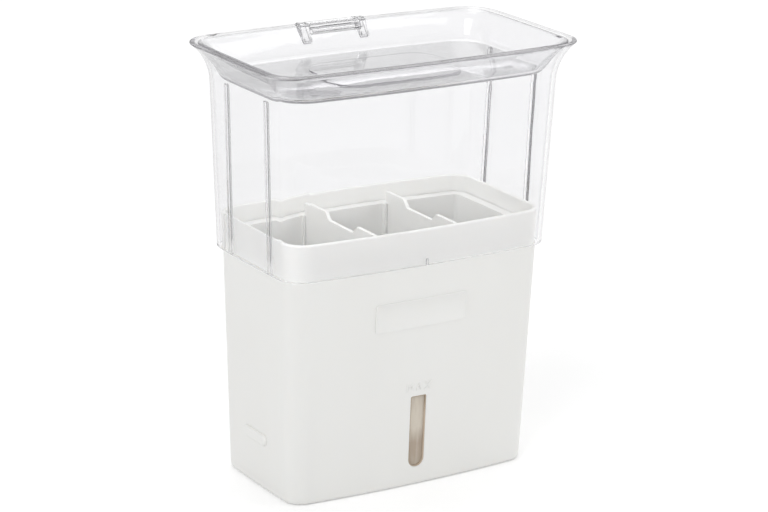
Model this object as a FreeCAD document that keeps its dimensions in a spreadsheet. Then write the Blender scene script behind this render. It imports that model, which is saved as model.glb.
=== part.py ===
import FreeCAD, Part
import math
import os

import Sketcher

# Herb keeper, in millimetres. A white reservoir holds water and a stem basket with two loose
# dividers, a clear hood stands on its collar, and a clear tray lid is hinged in the hood's mouth.
# +Z is up, the window looks towards -Y, and the origin is the middle of the underside.

SIZES = {
    "total_height": 230.0,
    # Reservoir: half sizes at the foot, in the middle of each bowed side
    "foot_half_x": 72.5,
    "foot_half_y": 39.0,
    "base_taper": 0.0317,
    "foot_corner": 10.0,
    "seam_corner": 12.0,
    "long_bow": 3.6,
    "short_bow": 0.8,
    "foot_round": 2.5,
    "base_wall": 3.2,
    "base_floor": 3.0,
    "seam_height": 122.0,
    # Collar above the seam, and the recess in each short side for the hood's ribs
    "collar_height": 19.0,
    "collar_step": 0.7,
    "collar_round": 0.9,
    "recess_half_width": 28.5,
    "recess_depth": 1.2,
    # Raised oval grip on each short side
    "grip_height": 28.5,
    "grip_length": 23.0,
    "grip_width": 6.4,
    "grip_proud": 1.6,
    "grip_round": 1.45,
    # Window slot, and the plug and flange of its clear insert
    "window_half_width": 4.75,
    "window_bottom": 10.6,
    "window_top": 50.5,
    "window_round": 0.9,
    "window_recess": 1.1,
    "window_gap": 0.1,
    "window_margin": 3.0,
    "window_flange": 1.5,
    "window_seat": 1.0,
    # Brackets that carry the basket's flange
    "bracket_below": 11.0,
    "bracket_drop": 24.0,
    "bracket_thickness": 3.0,
    "bracket_place_x": 34.0,
    "bracket_place_y": 20.0,
    # Basket, with slots in its floor and guides for the dividers
    "basket_gap": 4.2,
    "basket_wall": 2.0,
    "basket_floor": 2.0,
    "water_depth": 11.0,
    "flange_thickness": 2.0,
    "flange_gap": 0.5,
    "slot_half_width": 2.0,
    "slot_length": 15.0,
    "guide_wall": 1.6,
    "guide_depth": 2.4,
    # Dividers
    "divider_place": 24.0,
    "divider_thickness": 2.0,
    "divider_below": 2.5,
    "divider_gap": 0.25,
    "divider_scoop": 4.0,
    "divider_scoop_half": 12.0,
    # Clear hood
    "hood_foot_gap": 0.3,
    "hood_gap_x": 0.65,
    "hood_gap_y": 0.3,
    "hood_taper": 0.0343,
    "hood_corner": 12.5,
    "hood_wall": 2.1,
    "flare_rise": 20.0,
    "flare_out_x": 10.7,
    "flare_out_y": 5.136,
    "rim_corner": 18.5,
    "rim_long_bow": 3.0,
    "rim_round": 0.4,
    # Ribs inside the hood's short walls
    "rib_place": 20.0,
    "rib_width": 2.6,
    "rib_gap": 0.3,
    "rib_drop": 18.0,
    # Clear tray lid
    "lid_gap": 0.35,
    "lid_drop": 0.3,
    "lid_lift": 3.0,
    "lid_wall": 2.5,
    "lid_floor": 2.2,
    "lid_slope": 5.0,
    "lid_floor_corner": 19.0,
    "lid_rim_corner": 15.0,
    "lid_round": 2.2,
    "lid_inner_round": 1.5,
    "lid_edge": 0.5,
    "panel_half_x": 38.0,
    "panel_half_y": 22.0,
    "panel_corner": 14.0,
    "panel_height": 0.8,
    # Hinge at the back rim
    "hinge_out": 1.0,
    "hinge_drop": 2.6,
    "barrel_radius": 2.55,
    "barrel_half_length": 15.0,
    "ear_gap": 0.25,
    "ear_thickness": 4.3,
    "ear_foot_in": 4.7,
    "ear_foot_drop": 8.8,
    "ear_foot_radius": 1.8,
    "pin_radius": 1.25,
    "pin_fit": 0.02,
    "pin_play": 0.06,
    "pin_inset": 0.5,
    "tongue_thickness": 3.0,
    "notch_gap": 0.6,
}

doc = FreeCAD.newDocument("herb_keeper")
sheet = doc.addObject("Spreadsheet::Sheet", "sizes")
for row, (alias, number) in enumerate(SIZES.items(), start=1):
    sheet.set("A%d" % row, alias)
    sheet.set("B%d" % row, str(number))
    sheet.setAlias("B%d" % row, alias)
doc.recompute()


def named(text):
    """Point the words of a formula that are sheet names at the sheet."""
    words = []
    word = ""
    for letter in text + " ":
        if letter.isalnum() or letter == "_":
            word += letter
            continue
        words.append("sizes." + word if word in SIZES else word)
        words.append(letter)
        word = ""
    return "".join(words).strip()


def value(text):
    """The number that a formula over the sheet gives."""
    return float(doc.getObject("sizes").evalExpression(named(text)))


def bind(item, path, text):
    item.setExpression(path, named(text))


# Sketches

def new_body(label):
    body = doc.addObject("PartDesign::Body", label)
    body.Label = label
    return body


def new_sketch(body, name, role, lift="0", tilt=None):
    """A sketch on one of the body's own planes, lifted along its normal and tilted about its X."""
    sketch = body.newObject("Sketcher::SketchObject", name)
    plane = [item for item in body.Origin.OriginFeatures if item.Role == role][0]
    sketch.AttachmentSupport = [(plane, "")]
    sketch.MapMode = "FlatFace"
    turn = FreeCAD.Rotation(FreeCAD.Vector(1, 0, 0), value(tilt) if tilt else 0.0)
    sketch.AttachmentOffset = FreeCAD.Placement(FreeCAD.Vector(0, 0, value(lift)), turn)
    bind(sketch, "AttachmentOffset.Base.z", lift)
    if tilt:
        bind(sketch, "AttachmentOffset.Rotation.Angle", tilt)
    return sketch


def constrain(sketch, *terms, formula=None):
    """Add a constraint, bound to a formula where it has a size."""
    if formula is None:
        sketch.addConstraint(Sketcher.Constraint(*terms))
        return
    index = sketch.addConstraint(Sketcher.Constraint(*terms, value(formula)))
    bind(sketch, "Constraints[%d]" % index, formula)


def place(sketch, item, end, x, y):
    """Hold a point at (x, y), with every distance written as a positive size."""
    for kind, formula, axis in (("DistanceX", x, -2), ("DistanceY", y, -1)):
        number = value(formula)
        if abs(number) < 1e-9:
            constrain(sketch, "PointOnObject", item, end, axis)
        elif number > 0:
            constrain(sketch, kind, -1, 1, item, end, formula=formula)
        else:
            constrain(sketch, kind, item, end, -1, 1, formula="-(%s)" % formula)


def arc_between(centre, start, end):
    """An arc of a circle about centre, counterclockwise from start to end."""
    radius = math.hypot(start[0] - centre[0], start[1] - centre[1])
    circle = Part.Circle(FreeCAD.Vector(centre[0], centre[1], 0), FreeCAD.Vector(0, 0, 1), radius)
    first = math.atan2(start[1] - centre[1], start[0] - centre[0])
    last = math.atan2(end[1] - centre[1], end[0] - centre[0])
    if last <= first:
        last += 2 * math.pi
    return Part.ArcOfCircle(circle, first, last)


def line_between(start, end):
    return Part.LineSegment(FreeCAD.Vector(start[0], start[1], 0), FreeCAD.Vector(end[0], end[1], 0))


def polygon(body, name, role, corners, lift="0", tilt=None):
    """A straight-sided outline whose corners are pairs of formulas."""
    sketch = new_sketch(body, name, role, lift, tilt)
    points = [(value(x), value(y)) for x, y in corners]
    count = len(points)
    for i in range(count):
        sketch.addGeometry(line_between(points[i], points[(i + 1) % count]), False)
    for i in range(count):
        constrain(sketch, "Coincident", i, 2, (i + 1) % count, 1)
    for i, (x, y) in enumerate(corners):
        place(sketch, i, 1, x, y)
    return sketch


def disc(body, name, role, x, y, radius, lift="0"):
    sketch = new_sketch(body, name, role, lift)
    centre = FreeCAD.Vector(value(x), value(y), 0)
    sketch.addGeometry(Part.Circle(centre, FreeCAD.Vector(0, 0, 1), value(radius)), False)
    constrain(sketch, "Radius", 0, formula=radius)
    place(sketch, 0, 3, x, y)
    return sketch


def rounded_bar(body, name, role, x, y, length, half_width, lift="0", tilt=None):
    """A bar with round ends, long along the sketch's X and centred at (x, y)."""
    sketch = new_sketch(body, name, role, lift, tilt)
    reach = "(%s) / 2 - (%s)" % (length, half_width)
    left, right = value("(%s) - (%s)" % (x, reach)), value("(%s) + (%s)" % (x, reach))
    middle, r = value(y), value(half_width)
    sketch.addGeometry(line_between((left, middle - r), (right, middle - r)), False)
    sketch.addGeometry(arc_between((right, middle), (right, middle - r), (right, middle + r)), False)
    sketch.addGeometry(line_between((right, middle + r), (left, middle + r)), False)
    sketch.addGeometry(arc_between((left, middle), (left, middle + r), (left, middle - r)), False)
    for i in range(4):
        constrain(sketch, "Tangent", i, 2, (i + 1) % 4, 1)
    constrain(sketch, "Horizontal", 0)
    constrain(sketch, "Equal", 1, 3)
    constrain(sketch, "Radius", 1, formula=half_width)
    place(sketch, 1, 3, "(%s) + (%s)" % (x, reach), y)
    constrain(sketch, "DistanceX", 3, 3, 1, 3, formula="2 * (%s)" % reach)
    return sketch


def bowed_outline(body, name, height, half_x, half_y, corner, long_bow, short_bow):
    """A level rounded rectangle whose four sides bow outwards."""
    a, b, r = value(half_x), value(half_y), value(corner)
    long_radius = "((%s)^2 + (%s)^2) / (2 * (%s))" % (half_x, long_bow, long_bow)
    short_radius = "((%s)^2 + (%s)^2) / (2 * (%s))" % (half_y, short_bow, short_bow)
    big, side = value(long_radius), value(short_radius)
    # The corner's circle lies inside the front arc's circle and inside the right arc's circle
    gap_x, gap_y = a - side, b - big
    apart = math.hypot(gap_x, gap_y)
    along = ((big - r) ** 2 - (side - r) ** 2 + apart ** 2) / (2 * apart)
    across = math.sqrt((big - r) ** 2 - along ** 2)
    unit_x, unit_y = gap_x / apart, gap_y / apart
    # Worked in the back right quarter, where the long side's centre is (0, gap_y)
    options = []
    for sign in (-1, 1):
        x = unit_x * along + sign * unit_y * across
        y = gap_y - unit_y * along + sign * unit_x * across
        options.append((x, y))
    centre_x, centre_y = [point for point in options if point[0] > 0 and point[1] > 0][0]
    reach = math.hypot(centre_x, centre_y - gap_y)
    on_long = (centre_x * big / reach, gap_y + (centre_y - gap_y) * big / reach)
    reach = math.hypot(centre_x - gap_x, centre_y)
    on_short = (gap_x + (centre_x - gap_x) * side / reach, centre_y * side / reach)

    def flip(point, x, y):
        return (point[0] * x, point[1] * y)

    c = (centre_x, centre_y)
    sketch = new_sketch(body, name, "XY_Plane", height)
    arcs = [
        arc_between((0, -gap_y), flip(on_long, -1, -1), flip(on_long, 1, -1)),
        arc_between(flip(c, 1, -1), flip(on_long, 1, -1), flip(on_short, 1, -1)),
        arc_between((gap_x, 0), flip(on_short, 1, -1), on_short),
        arc_between(c, on_short, on_long),
        arc_between((0, gap_y), on_long, flip(on_long, -1, 1)),
        arc_between(flip(c, -1, 1), flip(on_long, -1, 1), flip(on_short, -1, 1)),
        arc_between((-gap_x, 0), flip(on_short, -1, 1), flip(on_short, -1, -1)),
        arc_between(flip(c, -1, -1), flip(on_short, -1, -1), flip(on_long, -1, -1)),
    ]
    for arc in arcs:
        sketch.addGeometry(arc, False)
    for i in range(8):
        constrain(sketch, "Tangent", i, 2, (i + 1) % 8, 1)
    for i in (3, 5, 7):
        constrain(sketch, "Equal", 1, i)
    constrain(sketch, "Equal", 0, 4)
    constrain(sketch, "Equal", 2, 6)
    constrain(sketch, "Radius", 0, formula=long_radius)
    constrain(sketch, "Radius", 1, formula=corner)
    constrain(sketch, "Radius", 2, formula=short_radius)
    place(sketch, 0, 3, "0", "%s - (%s)" % (long_radius, half_y))
    place(sketch, 4, 3, "0", "(%s) - %s" % (half_y, long_radius))
    place(sketch, 2, 3, "(%s) - %s" % (half_x, short_radius), "0")
    place(sketch, 6, 3, "%s - (%s)" % (short_radius, half_x), "0")
    return sketch


# Features

def recomputed(feature):
    doc.recompute()
    return feature


def loft(body, name, sketches, add=True, ruled=False):
    kind = "PartDesign::AdditiveLoft" if add else "PartDesign::SubtractiveLoft"
    feature = body.newObject(kind, name)
    feature.Profile = sketches[0]
    feature.Sections = sketches[1:]
    feature.Ruled = ruled
    return recomputed(feature)


def pad(body, name, sketch, length, against=False, both=False):
    """Raise a sketch along its normal, against it, or by half its length both ways."""
    feature = body.newObject("PartDesign::Pad", name)
    feature.Profile = sketch
    feature.Reversed = against
    feature.SideType = "Symmetric" if both else "One side"
    feature.Length = value(length)
    bind(feature, "Length", length)
    return recomputed(feature)


def pocket(body, name, sketch, length, along=False, both=False):
    """Cut a sketch against its normal, along it, or by half its length both ways."""
    feature = body.newObject("PartDesign::Pocket", name)
    feature.Profile = sketch
    feature.Reversed = along
    feature.SideType = "Symmetric" if both else "One side"
    feature.Length = value(length)
    bind(feature, "Length", length)
    return recomputed(feature)


def treat_edges(body, kind, size, name, formula, chosen):
    base = body.Tip
    names = ["Edge%d" % (i + 1) for i, edge in enumerate(base.Shape.Edges) if chosen(edge)]
    feature = body.newObject(kind, name)
    feature.Base = (base, names)
    setattr(feature, size, value(formula))
    bind(feature, size, formula)
    return recomputed(feature)


def round_edges(body, name, radius, chosen):
    """Fillet the edges of the body's last feature for which chosen(edge) is true."""
    return treat_edges(body, "PartDesign::Fillet", "Radius", name, radius, chosen)


def break_edges(body, name, width, chosen):
    """Chamfer the edges of the body's last feature for which chosen(edge) is true."""
    return treat_edges(body, "PartDesign::Chamfer", "Size", name, width, chosen)


def level(height):
    """A test for edges that lie flat at a height."""
    z = value(height)

    def test(edge):
        return abs(edge.BoundBox.ZMin - z) < 0.01 and abs(edge.BoundBox.ZMax - z) < 0.01
    return test


def vessel(body, name, outline, floor, inset, radius, heights, add=True, ruled=False):
    """A vessel-shaped solid with a rounded foot. outline(name, z, inset) draws it at a height."""
    foot = []
    for turn in (0, 22.5, 45, 67.5, 90):
        z = "(%s) + %s * (1 - cos(%s deg))" % (floor, radius, turn)
        back = "%s + %s * (1 - sin(%s deg))" % (inset, radius, turn)
        foot.append(outline(name + "_foot_outline", z, back))
    loft(body, name + "_foot", foot, add, ruled=True)
    heights = ["(%s) + %s" % (floor, radius)] + heights
    loft(body, name, [outline(name + "_outline", z, inset) for z in heights], add, ruled)


# Reservoir

COLLAR_TOP = "(seam_height + collar_height)"
BRACKET_TOP = "(%s - bracket_below)" % COLLAR_TOP


def base_half(axis, z, inset):
    return "foot_half_%s + base_taper * (%s) - (%s)" % (axis, z, inset)


def base_outline(body, name, z, inset):
    """The reservoir's outline at a height, set in from its outer wall."""
    corner = "foot_corner + (seam_corner - foot_corner) * (%s) / seam_height - (%s)" % (z, inset)
    return bowed_outline(
        body, name, z, base_half("x", z, inset), base_half("y", z, inset), corner, "long_bow", "short_bow")


def long_wall_y(x, z, inset):
    """How far the bowed long wall stands from the middle, at a place along it."""
    return "(%s - long_bow * ((%s) / foot_half_x)^2)" % (base_half("y", z, inset), x)


def window_outline(body, name, lift, grow):
    """The window's outline on the tilted front wall: a round foot, and a flat top with small corners."""
    sketch = new_sketch(body, name, "XZ_Plane", lift, "atan(base_taper)")
    half = "(window_half_width + %s)" % grow
    top = "(window_top + %s)" % grow
    foot = "(window_bottom + window_half_width)"
    w, t, f, r = value(half), value(top), value(foot), value("window_round")
    outline = [
        arc_between((0, f), (-w, f), (w, f)),
        line_between((w, f), (w, t - r)),
        arc_between((w - r, t - r), (w, t - r), (w - r, t)),
        line_between((w - r, t), (r - w, t)),
        arc_between((r - w, t - r), (r - w, t), (-w, t - r)),
        line_between((-w, t - r), (-w, f)),
    ]
    for item in outline:
        sketch.addGeometry(item, False)
    for i in range(6):
        constrain(sketch, "Tangent", i, 2, (i + 1) % 6, 1)
    constrain(sketch, "Vertical", 1)
    constrain(sketch, "Vertical", 5)
    constrain(sketch, "Horizontal", 3)
    constrain(sketch, "Equal", 2, 4)
    constrain(sketch, "Radius", 2, formula="window_round")
    constrain(sketch, "Radius", 0, formula=half)
    place(sketch, 0, 3, "0", foot)
    constrain(sketch, "DistanceY", -1, 1, 3, 1, formula=top)
    return sketch


SEAT_LIFT = "foot_half_y - base_wall + window_seat"


def make_base():
    body = new_body("base_reservoir")

    def outline(name, z, inset):
        return base_outline(body, name, z, inset)

    vessel(body, "outer_wall", outline, "0", "0", "foot_round", ["seam_height"], ruled=True)
    loft(body, "collar", [
        base_outline(body, "collar_foot_outline", "seam_height", "collar_step"),
        base_outline(body, "collar_top_outline", COLLAR_TOP, "collar_step")], ruled=True)
    vessel(body, "cavity", outline, "base_floor", "base_wall", "foot_round", [COLLAR_TOP], add=False, ruled=True)
    round_edges(body, "collar_rounding", "collar_round", level(COLLAR_TOP))

    # The recesses leave the collar's wall thinner between their two upright steps
    for side, name in ((-1, "left"), (1, "right")):
        near = "%d * (%s)" % (side, base_half("x", "0", "collar_step + recess_depth"))
        sketch = polygon(body, "recess_%s_outline" % name, "YZ_Plane", [
            ("-recess_half_width", "seam_height"),
            ("recess_half_width", "seam_height"),
            ("recess_half_width", COLLAR_TOP + " + collar_round"),
            ("-recess_half_width", COLLAR_TOP + " + collar_round")],
            lift=near, tilt="%d * atan(base_taper)" % side)
        pocket(body, "recess_" + name, sketch, "2 * (collar_step + recess_depth)", along=side > 0)

    # Brackets under the basket's flange: two on each short wall, two on each long wall
    reach = "base_wall + basket_gap - flange_gap"
    drop = "(%s - bracket_drop)" % BRACKET_TOP
    for side in (-1, 1):
        for end in (-1, 1):
            corners = [(base_half("x", BRACKET_TOP, "base_wall / 2"), BRACKET_TOP),
                       (base_half("x", BRACKET_TOP, reach), BRACKET_TOP),
                       (base_half("x", drop, "base_wall / 2"), drop)]
            sketch = polygon(
                body, "short_bracket_outline", "XZ_Plane",
                [("%d * (%s)" % (side, x), z) for x, z in corners], lift="%d * bracket_place_y" % end)
            pad(body, "short_bracket", sketch, "bracket_thickness", both=True)
            corners = [(long_wall_y("bracket_place_x", BRACKET_TOP, "base_wall / 2"), BRACKET_TOP),
                       (long_wall_y("bracket_place_x", BRACKET_TOP, reach), BRACKET_TOP),
                       (long_wall_y("bracket_place_x", drop, "base_wall / 2"), drop)]
            sketch = polygon(
                body, "long_bracket_outline", "YZ_Plane",
                [("%d * (%s)" % (side, y), z) for y, z in corners], lift="%d * bracket_place_x" % end)
            pad(body, "long_bracket", sketch, "bracket_thickness", both=True)

    seat = window_outline(body, "window_seat_outline", SEAT_LIFT, "window_margin + window_gap")
    pocket(body, "window_seat", seat, "base_wall")
    slot = window_outline(body, "window_slot_outline", SEAT_LIFT, "0")
    pocket(body, "window_slot", slot, "2 * base_wall", along=True)

    for side, name in ((-1, "left"), (1, "right")):
        sketch = rounded_bar(
            body, "grip_%s_outline" % name, "YZ_Plane", "0", "grip_height", "grip_length", "grip_width / 2",
            lift="%d * (foot_half_x - base_wall / 2)" % side, tilt="%d * atan(base_taper)" % side)
        pad(body, "grip_" + name, sketch, "base_wall / 2 + grip_proud", against=side < 0)
    face_x = value(base_half("x", "grip_height", "-grip_proud"))
    round_edges(
        body, "grip_rounding", "grip_round",
        lambda edge: abs(abs(edge.CenterOfMass.x) - face_x) < 0.4 and abs(edge.CenterOfMass.y) < 15
        and abs(edge.CenterOfMass.z - value("grip_height")) < value("grip_width"))
    return body


def make_window():
    """The insert: a plug in the slot, and a flange that seats on the wall's flat inner seat."""
    body = new_body("water_window")
    flange = window_outline(body, "flange_outline", SEAT_LIFT, "window_margin")
    pad(body, "flange", flange, "window_flange", against=True)
    plug = window_outline(body, "plug_outline", SEAT_LIFT, "(-window_gap)")
    pad(body, "plug", plug, "base_wall - window_seat - window_recess")
    return body


# Basket and dividers

BASKET_INSET = "base_wall + basket_gap"
FLANGE_TOP = "(%s + flange_thickness)" % BRACKET_TOP
BASKET_BOTTOM = "(base_floor + water_depth)"
FLOOR_TOP = "(%s + basket_floor)" % BASKET_BOTTOM


def basket_wall_y(x, z, inset):
    """Inner or outer face of the basket's long wall at a place along it."""
    return long_wall_y(x, z, "%s + %s" % (BASKET_INSET, inset))


def make_basket():
    body = new_body("inner_basket")
    loft(body, "outer_wall", [
        base_outline(body, "basket_foot_outline", BASKET_BOTTOM, BASKET_INSET),
        base_outline(body, "basket_top_outline", FLANGE_TOP, BASKET_INSET)], ruled=True)
    flange = base_outline(body, "basket_flange_outline", BRACKET_TOP, "base_wall + flange_gap")
    pad(body, "flange", flange, "flange_thickness")
    loft(body, "cavity", [
        base_outline(body, "basket_floor_outline", FLOOR_TOP, BASKET_INSET + " + basket_wall"),
        base_outline(body, "basket_mouth_outline", FLANGE_TOP, BASKET_INSET + " + basket_wall")],
        add=False, ruled=True)

    # A guide is an upright channel on the long wall, open towards the middle
    for side in (-1, 1):
        for end in (-1, 1):
            ends = []
            for z, name in ((FLOOR_TOP, "foot"), (FLANGE_TOP, "head")):
                back = basket_wall_y("divider_place", z, "basket_wall / 2")
                lip = "(%s - basket_wall / 2 - guide_depth)" % back
                bed = "(%s - basket_wall / 2 - divider_gap)" % back
                half = "(divider_thickness / 2 + divider_gap)"
                outline = [
                    ("divider_place - %s - guide_wall" % half, back),
                    ("divider_place - %s - guide_wall" % half, lip),
                    ("divider_place - %s" % half, lip),
                    ("divider_place - %s" % half, bed),
                    ("divider_place + %s" % half, bed),
                    ("divider_place + %s" % half, lip),
                    ("divider_place + %s + guide_wall" % half, lip),
                    ("divider_place + %s + guide_wall" % half, back),
                ]
                ends.append(polygon(
                    body, "guide_%s_outline" % name, "XY_Plane",
                    [("%d * (%s)" % (end, x), "%d * (%s)" % (side, y)) for x, y in outline], lift=z))
            loft(body, "guide", ends, ruled=True)

    # Three rows of six slots share the floor evenly
    inside = BASKET_INSET + " + basket_wall"
    pitch_x = "(%s) / 3" % base_half("x", FLOOR_TOP, inside)
    pitch_y = "(%s) / 1.5" % base_half("y", FLOOR_TOP, inside)
    for row in (-1, 0, 1):
        for column in (-2.5, -1.5, -0.5, 0.5, 1.5, 2.5):
            sketch = rounded_bar(
                body, "floor_slot_outline", "XY_Plane", "%s * %s" % (column, pitch_x), "%s * %s" % (row, pitch_y),
                "slot_length", "slot_half_width", lift=FLOOR_TOP)
            pocket(body, "floor_slot", sketch, "2 * basket_floor")
    return body


def make_divider(label, side):
    """A loose wall that stands on the basket's floor between two guides."""
    body = new_body(label)
    top = "(%s - divider_below)" % COLLAR_TOP
    foot_y = "(%s - divider_gap)" % basket_wall_y("divider_place", FLOOR_TOP, "basket_wall + divider_gap")
    head_y = "(%s - divider_gap)" % basket_wall_y("divider_place", FLANGE_TOP, "basket_wall + divider_gap")
    sketch = polygon(body, "plate_outline", "YZ_Plane", [
        ("-" + foot_y, FLOOR_TOP),
        (foot_y, FLOOR_TOP),
        (head_y, FLANGE_TOP),
        (head_y, top),
        ("divider_scoop_half + divider_scoop", top),
        ("divider_scoop_half", top + " - divider_scoop"),
        ("-divider_scoop_half", top + " - divider_scoop"),
        ("-(divider_scoop_half + divider_scoop)", top),
        ("-" + head_y, top),
        ("-" + head_y, FLANGE_TOP)], lift="%d * divider_place" % side)
    pad(body, "plate", sketch, "divider_thickness", both=True)
    return body


# Clear hood

HOOD_FOOT = "(seam_height + hood_foot_gap)"
FLARE_START = "(total_height - flare_rise)"


def wall_half(axis, z, inset):
    """Half size of the straight wall below the flare. Its foot passes over the collar's top when the hood is lifted."""
    foot = "%s + hood_gap_%s + hood_wall" % (base_half(axis, COLLAR_TOP, "collar_step"), axis)
    return "(%s + hood_taper * (%s - %s) - %s)" % (foot, z, HOOD_FOOT, inset)


def hood_half(axis, rise, inset):
    """Half size of the flared wall at a rise above the flare's start. Its curve is an arc."""
    straight = wall_half(axis, "(%s + (%s))" % (FLARE_START, rise), "0")
    radius = "((flare_out_%s^2 + flare_rise^2) / (2 * flare_out_%s))" % (axis, axis)
    return "(%s + %s - sqrt((%s + %s)^2 - (%s)^2))" % (straight, radius, radius, inset, rise)


RIM_HALF_Y = "(%s + flare_out_y)" % wall_half("y", "total_height", "0")
HINGE_Y = "(%s + hinge_out)" % RIM_HALF_Y
HINGE_Z = "(total_height - hinge_drop)"
RIB_TOP = "(total_height - rib_drop)"


def wall_outline(body, name, z, inset):
    return bowed_outline(
        body, name, z, wall_half("x", z, inset), wall_half("y", z, inset), "hood_corner - %s" % inset,
        "long_bow", "short_bow")


def flare_outline(body, name, share, inset):
    """The flare's outline at a share of its rise."""
    rise = "%s * flare_rise" % share
    outer, inner = hood_half("y", rise, "0"), hood_half("y", rise, inset)
    corner = "hood_corner + (rim_corner - hood_corner) * %s^2 - (%s - %s)" % (share, outer, inner)
    bow = "long_bow + (rim_long_bow - long_bow) * %s" % share
    return bowed_outline(
        body, name, "%s + %s" % (FLARE_START, rise), hood_half("x", rise, inset), inner, corner, bow, "short_bow")


def ear_outline(body, name, lift):
    """A hinge ear seen from the side: round about the pin, and tapering down the outside of the flare."""
    sketch = new_sketch(body, name, "YZ_Plane", lift)
    foot_y, foot_z = "(%s - ear_foot_in)" % RIM_HALF_Y, "(total_height - ear_foot_drop)"
    pin = (value(HINGE_Y), value(HINGE_Z))
    foot = (value(foot_y), value(foot_z))
    boss, toe = value("barrel_radius"), value("ear_foot_radius")
    crown = (pin[0], pin[1] + boss)
    root_y = RIM_HALF_Y + " - hood_wall / 2"
    root = (value(root_y), crown[1])
    span = math.hypot(pin[0] - foot[0], pin[1] - foot[1])
    back = math.atan2(pin[1] - foot[1], pin[0] - foot[0]) - math.acos((toe - boss) / span)
    span = math.hypot(root[0] - foot[0], root[1] - foot[1])
    front = math.atan2(root[1] - foot[1], root[0] - foot[0]) + math.acos(toe / span)

    def on(centre, radius, angle):
        return (centre[0] + radius * math.cos(angle), centre[1] + radius * math.sin(angle))

    outline = [
        arc_between(pin, on(pin, boss, back), crown),
        line_between(crown, root),
        line_between(root, on(foot, toe, front)),
        arc_between(foot, on(foot, toe, front), on(foot, toe, back)),
        line_between(on(foot, toe, back), on(pin, boss, back)),
    ]
    for item in outline:
        sketch.addGeometry(item, False)
    constrain(sketch, "Tangent", 0, 2, 1, 1)
    constrain(sketch, "Coincident", 1, 2, 2, 1)
    constrain(sketch, "Tangent", 2, 2, 3, 1)
    constrain(sketch, "Tangent", 3, 2, 4, 1)
    constrain(sketch, "Tangent", 4, 2, 0, 1)
    constrain(sketch, "Horizontal", 1)
    constrain(sketch, "Radius", 0, formula="barrel_radius")
    constrain(sketch, "Radius", 3, formula="ear_foot_radius")
    place(sketch, 0, 3, HINGE_Y, HINGE_Z)
    place(sketch, 3, 3, foot_y, foot_z)
    constrain(sketch, "DistanceX", -1, 1, 1, 2, formula=root_y)
    return sketch


def make_hood():
    body = new_body("hood")
    shares = ("0", "0.25", "0.5", "0.75", "1")
    loft(body, "outer_wall", [
        wall_outline(body, "foot_outline", HOOD_FOOT, "0"),
        wall_outline(body, "neck_outline", FLARE_START, "0")], ruled=True)
    loft(body, "outer_flare", [flare_outline(body, "flare_outline", share, "0") for share in shares])
    loft(body, "inner_wall", [
        wall_outline(body, "inner_foot_outline", HOOD_FOOT, "hood_wall"),
        wall_outline(body, "inner_neck_outline", FLARE_START, "hood_wall")], add=False, ruled=True)
    loft(body, "inner_flare", [
        flare_outline(body, "inner_flare_outline", share, "hood_wall") for share in shares], add=False)
    round_edges(body, "rim_rounding", "rim_round", level("total_height"))

    # Ribs stand on the ledge of the collar's recess and lean outwards with the wall
    for side in (-1, 1):
        for end in (-1, 1):
            ends = []
            for z, name in (("seam_height", "foot"), (RIB_TOP, "head")):
                inner = "(%s + rib_gap + hood_taper * (%s - seam_height))" % (
                    base_half("x", COLLAR_TOP, "collar_step + recess_depth"), z)
                outer = wall_half("x", z, "hood_wall / 2")
                ends.append(polygon(body, "rib_%s_outline" % name, "XY_Plane", [
                    ("%d * %s" % (side, x), "%d * rib_place + %s * rib_width / 2" % (end, y))
                    for x, y in ((inner, "-1"), (outer, "-1"), (outer, "1"), (inner, "1"))], lift=z))
            loft(body, "rib", ends, ruled=True)
    round_edges(
        body, "rib_rounding", "rib_width * 0.45",
        lambda edge: level(RIB_TOP)(edge) and edge.BoundBox.YLength < 0.01
        and abs(abs(edge.CenterOfMass.y) - value("rib_place")) > 0.4 * value("rib_width"))

    # The back rim is cut away between the ears, so that the lid's tongue can pass
    notch_half = "(barrel_half_length + ear_gap)"
    notch_floor = "(%s - barrel_radius - notch_gap)" % HINGE_Z
    notch = polygon(body, "notch_outline", "XZ_Plane", [
        ("-" + notch_half, notch_floor),
        (notch_half, notch_floor),
        (notch_half, "total_height + rim_round"),
        ("-" + notch_half, "total_height + rim_round")],
        lift="-(%s + rim_round)" % RIM_HALF_Y)
    pocket(body, "hinge_notch", notch, RIM_HALF_Y + " / 2", along=True)
    for side in (-1, 1):
        sketch = ear_outline(body, "ear_outline", "%d * %s" % (side, notch_half))
        pad(body, "ear", sketch, "ear_thickness", against=side < 0)
    bore = disc(body, "bore_outline", "YZ_Plane", HINGE_Y, HINGE_Z, "pin_radius + pin_fit")
    pocket(body, "pin_bore", bore, "2 * (%s + 2 * ear_thickness)" % notch_half, both=True)
    return body


def make_pin():
    body = new_body("hinge_pin")
    length = "2 * (barrel_half_length + ear_gap + ear_thickness - pin_inset)"
    pad(body, "rod", disc(body, "rod_outline", "YZ_Plane", HINGE_Y, HINGE_Z, "pin_radius"), length, both=True)
    break_edges(body, "rod_break", "pin_radius / 4", lambda edge: edge.BoundBox.XLength < 0.01)
    return body


# Clear tray lid

LID_TOP_RISE = "(flare_rise - lid_drop)"


def lid_outline(body, name, z, inset):
    """The lid's outline at a height: it follows the hood's flare along X and slopes along Y."""
    rise = "(%s - %s)" % (z, FLARE_START)
    share = "((%s - lid_lift) / (%s - lid_lift))" % (rise, LID_TOP_RISE)
    half_x = "%s - (%s)" % (hood_half("x", rise, "(hood_wall + lid_gap)"), inset)
    rim_y = hood_half("y", LID_TOP_RISE, "(hood_wall + lid_gap)")
    floor_y = wall_half("y", FLARE_START, "(hood_wall + lid_slope)")
    half_y = "%s + (%s - %s) * %s - (%s)" % (floor_y, rim_y, floor_y, share, inset)
    corner = "lid_floor_corner + (lid_rim_corner - lid_floor_corner) * %s - (%s)" % (share, inset)
    return bowed_outline(body, name, z, half_x, half_y, corner, "rim_long_bow", "short_bow")


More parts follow.
